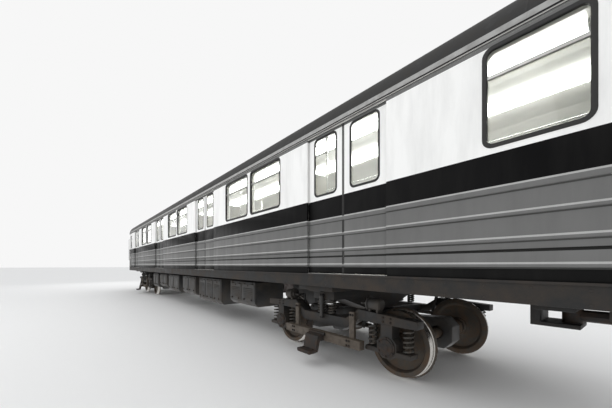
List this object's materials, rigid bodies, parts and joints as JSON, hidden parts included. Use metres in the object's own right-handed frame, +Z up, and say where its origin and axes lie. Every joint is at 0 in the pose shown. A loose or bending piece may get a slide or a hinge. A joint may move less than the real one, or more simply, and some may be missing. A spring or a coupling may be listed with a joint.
{
  "type": "metro car",
  "caption": "Electric metro car with a cab at one end: ribbed metal sides, a window band, sliding doors, longitudinal benches, two motor bogies and automatic couplers.",
  "frame": {"origin": "on the floor that the flange tips stand on, below the middle of the car; the rail head is 28 mm higher", "axes": "+X forward to the cab end, +Y to the car's left, +Z up"},
  "size_m": [19.21, 2.9, 3.6772],
  "materials": {
    "body_paint": "gloss, worn",
    "door_paint": "gloss, worn",
    "roof_paint": "satin, dusty",
    "underframe_paint": "matt, dirty",
    "bogie_paint": "matt, dirty",
    "equipment_paint": "matt, dirty",
    "wheel_steel": "ground tread",
    "cast_iron": "rough cast",
    "spring_steel": "satin",
    "insulator": "moulded",
    "resistor_steel": "heat stained",
    "floor_covering": "matt",
    "lining": "satin laminate",
    "seat_leatherette": "grained",
    "seat_base": "satin",
    "rail_steel": "polished",
    "glass": "clear",
    "lamp_glass": "ribbed",
    "lamp_diffuser": "opal",
    "cab_trim": "satin"
  },
  "bodies": {
    "car_body": {"air_reservoirs": "equipment_paint", "cab_front": "body_paint", "cab_partition": "lining", "ceiling": "lining", "ceiling_lamps": "lamp_diffuser", "driver_desk": "cab_trim", "driver_seat": "seat_leatherette", "equipment_boxes": "equipment_paint", "floor": "floor_covering", "front_lamps": "lamp_glass", "grab_rails": "rail_steel", "rear_end": "body_paint", "resistor_bank": "resistor_steel", "roof": "roof_paint", "roof_vents": "roof_paint", "seat_cushions": "seat_leatherette", "seat_frames": "seat_base", "side_wall_left": "body_paint", "side_wall_right": "body_paint", "underframe": "underframe_paint", "window_glass": "glass"},
    "bogie_front": {"bogie_frame_front": "bogie_paint", "bogie_springs_front": "spring_steel", "traction_motors_front": "equipment_paint", "brake_gear_front": "cast_iron", "current_collectors_front": "insulator"},
    "bogie_rear": {"bogie_frame_rear": "bogie_paint", "bogie_springs_rear": "spring_steel", "traction_motors_rear": "equipment_paint", "brake_gear_rear": "cast_iron", "current_collectors_rear": "insulator"},
    "cab_door_left": {"cab_door_left": "door_paint"},
    "cab_door_right": {"cab_door_right": "door_paint"},
    "coupler_front": {"coupler_front": "cast_iron"},
    "coupler_rear": {"coupler_rear": "cast_iron"},
    "door_left_1_front": {"door_left_1_front": "door_paint"},
    "door_left_1_rear": {"door_left_1_rear": "door_paint"},
    "door_left_2_front": {"door_left_2_front": "door_paint"},
    "door_left_2_rear": {"door_left_2_rear": "door_paint"},
    "door_left_3_front": {"door_left_3_front": "door_paint"},
    "door_left_3_rear": {"door_left_3_rear": "door_paint"},
    "door_left_4_front": {"door_left_4_front": "door_paint"},
    "door_left_4_rear": {"door_left_4_rear": "door_paint"},
    "door_right_1_front": {"door_right_1_front": "door_paint"},
    "door_right_1_rear": {"door_right_1_rear": "door_paint"},
    "door_right_2_front": {"door_right_2_front": "door_paint"},
    "door_right_2_rear": {"door_right_2_rear": "door_paint"},
    "door_right_3_front": {"door_right_3_front": "door_paint"},
    "door_right_3_rear": {"door_right_3_rear": "door_paint"},
    "door_right_4_front": {"door_right_4_front": "door_paint"},
    "door_right_4_rear": {"door_right_4_rear": "door_paint"},
    "front_door": {"front_door": "door_paint"},
    "rear_door": {"rear_door": "door_paint"},
    "wheelset_1": {"wheelset_1": "wheel_steel"},
    "wheelset_2": {"wheelset_2": "wheel_steel"},
    "wheelset_3": {"wheelset_3": "wheel_steel"},
    "wheelset_4": {"wheelset_4": "wheel_steel"}
  },
  "joints": [
    {"name": "bogie_front_pivot", "type": "hinge", "parent": "car_body", "child": "bogie_front", "pos_m": [6.3, 0, 0.998], "axis": [0, 0, 1], "range_deg": [-5, 5]},
    {"name": "bogie_rear_pivot", "type": "hinge", "parent": "car_body", "child": "bogie_rear", "pos_m": [-6.3, 0, 0.998], "axis": [0, 0, 1], "range_deg": [-5, 5]},
    {"name": "wheelset_1_roll", "type": "hinge", "parent": "bogie_front", "child": "wheelset_1", "pos_m": [7.35, 0, 0.418], "axis": [0, 1, 0], "continuous": true},
    {"name": "wheelset_2_roll", "type": "hinge", "parent": "bogie_front", "child": "wheelset_2", "pos_m": [5.25, 0, 0.418], "axis": [0, 1, 0], "continuous": true},
    {"name": "wheelset_3_roll", "type": "hinge", "parent": "bogie_rear", "child": "wheelset_3", "pos_m": [-5.25, 0, 0.418], "axis": [0, 1, 0], "continuous": true},
    {"name": "wheelset_4_roll", "type": "hinge", "parent": "bogie_rear", "child": "wheelset_4", "pos_m": [-7.35, 0, 0.418], "axis": [0, 1, 0], "continuous": true},
    {"name": "door_left_1_front_slide", "type": "slide", "parent": "car_body", "child": "door_left_1_front", "axis": [1, 0, 0], "range_m": [0, 0.6]},
    {"name": "door_left_1_rear_slide", "type": "slide", "parent": "car_body", "child": "door_left_1_rear", "axis": [-1, 0, 0], "range_m": [0, 0.6]},
    {"name": "door_left_2_front_slide", "type": "slide", "parent": "car_body", "child": "door_left_2_front", "axis": [1, 0, 0], "range_m": [0, 0.6]},
    {"name": "door_left_2_rear_slide", "type": "slide", "parent": "car_body", "child": "door_left_2_rear", "axis": [-1, 0, 0], "range_m": [0, 0.6]},
    {"name": "door_left_3_front_slide", "type": "slide", "parent": "car_body", "child": "door_left_3_front", "axis": [1, 0, 0], "range_m": [0, 0.6]},
    {"name": "door_left_3_rear_slide", "type": "slide", "parent": "car_body", "child": "door_left_3_rear", "axis": [-1, 0, 0], "range_m": [0, 0.6]},
    {"name": "door_left_4_front_slide", "type": "slide", "parent": "car_body", "child": "door_left_4_front", "axis": [1, 0, 0], "range_m": [0, 0.6]},
    {"name": "door_left_4_rear_slide", "type": "slide", "parent": "car_body", "child": "door_left_4_rear", "axis": [-1, 0, 0], "range_m": [0, 0.6]},
    {"name": "door_right_1_front_slide", "type": "slide", "parent": "car_body", "child": "door_right_1_front", "axis": [1, 0, 0], "range_m": [0, 0.6]},
    {"name": "door_right_1_rear_slide", "type": "slide", "parent": "car_body", "child": "door_right_1_rear", "axis": [-1, 0, 0], "range_m": [0, 0.6]},
    {"name": "door_right_2_front_slide", "type": "slide", "parent": "car_body", "child": "door_right_2_front", "axis": [1, 0, 0], "range_m": [0, 0.6]},
    {"name": "door_right_2_rear_slide", "type": "slide", "parent": "car_body", "child": "door_right_2_rear", "axis": [-1, 0, 0], "range_m": [0, 0.6]},
    {"name": "door_right_3_front_slide", "type": "slide", "parent": "car_body", "child": "door_right_3_front", "axis": [1, 0, 0], "range_m": [0, 0.6]},
    {"name": "door_right_3_rear_slide", "type": "slide", "parent": "car_body", "child": "door_right_3_rear", "axis": [-1, 0, 0], "range_m": [0, 0.6]},
    {"name": "door_right_4_front_slide", "type": "slide", "parent": "car_body", "child": "door_right_4_front", "axis": [1, 0, 0], "range_m": [0, 0.6]},
    {"name": "door_right_4_rear_slide", "type": "slide", "parent": "car_body", "child": "door_right_4_rear", "axis": [-1, 0, 0], "range_m": [0, 0.6]},
    {"name": "cab_door_left_hinge", "type": "hinge", "parent": "car_body", "child": "cab_door_left", "pos_m": [8.338, 1.3, 2.1], "axis": [0, 0, -1], "range_deg": [0, 90]},
    {"name": "cab_door_right_hinge", "type": "hinge", "parent": "car_body", "child": "cab_door_right", "pos_m": [8.338, -1.3, 2.1], "axis": [0, 0, 1], "range_deg": [0, 90]},
    {"name": "front_door_hinge", "type": "hinge", "parent": "car_body", "child": "front_door", "pos_m": [9.345, 0.292, 2.1], "axis": [0, 0, -1], "range_deg": [0, 90]},
    {"name": "rear_door_hinge", "type": "hinge", "parent": "car_body", "child": "rear_door", "pos_m": [-9.345, 0.292, 2.1], "axis": [0, 0, 1], "range_deg": [0, 90]},
    {"name": "coupler_front_swing", "type": "hinge", "parent": "car_body", "child": "coupler_front", "pos_m": [8.76, 0, 0.856], "axis": [0, 0, 1], "range_deg": [-12, 12]},
    {"name": "coupler_rear_swing", "type": "hinge", "parent": "car_body", "child": "coupler_rear", "pos_m": [-8.76, 0, 0.856], "axis": [0, 0, 1], "range_deg": [-12, 12]}
  ],
  "couplings": [
    {"joint": "door_left_1_rear_slide", "follows": "door_left_1_front_slide", "ratio": 1},
    {"joint": "door_left_2_rear_slide", "follows": "door_left_2_front_slide", "ratio": 1},
    {"joint": "door_left_3_rear_slide", "follows": "door_left_3_front_slide", "ratio": 1},
    {"joint": "door_left_4_rear_slide", "follows": "door_left_4_front_slide", "ratio": 1},
    {"joint": "door_right_1_rear_slide", "follows": "door_right_1_front_slide", "ratio": 1},
    {"joint": "door_right_2_rear_slide", "follows": "door_right_2_front_slide", "ratio": 1},
    {"joint": "door_right_3_rear_slide", "follows": "door_right_3_front_slide", "ratio": 1},
    {"joint": "door_right_4_rear_slide", "follows": "door_right_4_front_slide", "ratio": 1}
  ]
}
